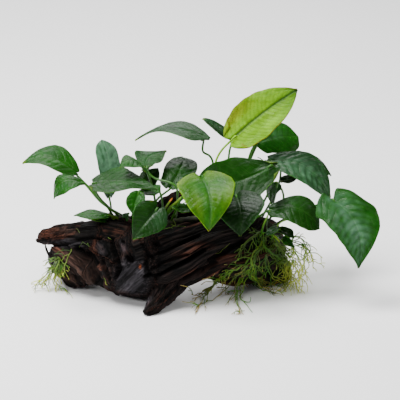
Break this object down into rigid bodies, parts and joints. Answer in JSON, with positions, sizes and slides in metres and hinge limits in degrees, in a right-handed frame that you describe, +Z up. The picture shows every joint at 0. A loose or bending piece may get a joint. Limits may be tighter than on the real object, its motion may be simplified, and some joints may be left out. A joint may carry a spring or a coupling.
{
  "type": "anubias on driftwood",
  "caption": "Broad-leaved Anubias water plant grown onto a dark forked piece of driftwood, with fine green roots hanging from both ends.",
  "frame": {"origin": "on the table, under the middle of the object's bounding box", "axes": "+X along the driftwood to the right as seen in the picture, -Y towards the viewer, +Z up"},
  "size_m": [0.3587, 0.1528, 0.2019],
  "materials": {
    "driftwood": "rough, dark and damp",
    "leaf_dark": "glossy leaf",
    "leaf_bright": "glossy leaf",
    "leaf_lime": "glossy young leaf",
    "leaf_yellow": "glossy young leaf",
    "stem": "smooth petiole",
    "rhizome": "knobbly",
    "root": "fine roots"
  },
  "bodies": {
    "root": {"driftwood_trunk": "driftwood", "driftwood_left_limb": "driftwood", "driftwood_right_limb": "driftwood", "driftwood_front_foot": "driftwood", "driftwood_back_branch": "driftwood", "rhizome_left": "rhizome", "rhizome_main": "rhizome", "leaf_left_upright": "leaf_dark", "leaf_left_broad": "leaf_dark", "leaf_left_arched": "leaf_dark", "leaf_left_folded": "leaf_dark", "leaf_left_back": "leaf_dark", "leaf_front_left": "leaf_dark", "leaf_middle_round": "leaf_dark", "leaf_top_arching": "leaf_dark", "leaf_top_edge_on": "leaf_dark", "leaf_middle_dark": "leaf_dark", "leaf_front_right": "leaf_dark", "leaf_right_grey": "leaf_dark", "leaf_right_rim": "leaf_dark", "leaf_right_edge_on": "leaf_dark", "leaf_right_sprout": "leaf_dark", "leaf_far_left": "leaf_bright", "leaf_far_left_low": "leaf_bright", "leaf_left_hanging": "leaf_bright", "leaf_left_short": "leaf_bright", "leaf_left_small": "leaf_bright", "leaf_top_right": "leaf_bright", "leaf_right_low": "leaf_bright", "leaf_far_right": "leaf_bright", "leaf_front_lime": "leaf_lime", "leaf_top_yellow": "leaf_yellow", "stem_left_upright": "stem", "stem_left_broad": "stem", "stem_left_arched": "stem", "stem_left_folded": "stem", "stem_left_back": "stem", "stem_front_left": "stem", "stem_middle_round": "stem", "stem_top_arching": "stem", "stem_top_edge_on": "stem", "stem_middle_dark": "stem", "stem_front_right": "stem", "stem_right_grey": "stem", "stem_right_rim": "stem", "stem_right_edge_on": "stem", "stem_right_sprout": "stem", "stem_far_left": "stem", "stem_far_left_low": "stem", "stem_left_hanging": "stem", "stem_left_short": "stem", "stem_left_small": "stem", "stem_top_right": "stem", "stem_right_low": "stem", "stem_far_right": "stem", "stem_front_lime": "stem", "stem_top_yellow": "stem", "root_tangle": "root", "root_tuft": "root"}
  },
  "joints": []
}
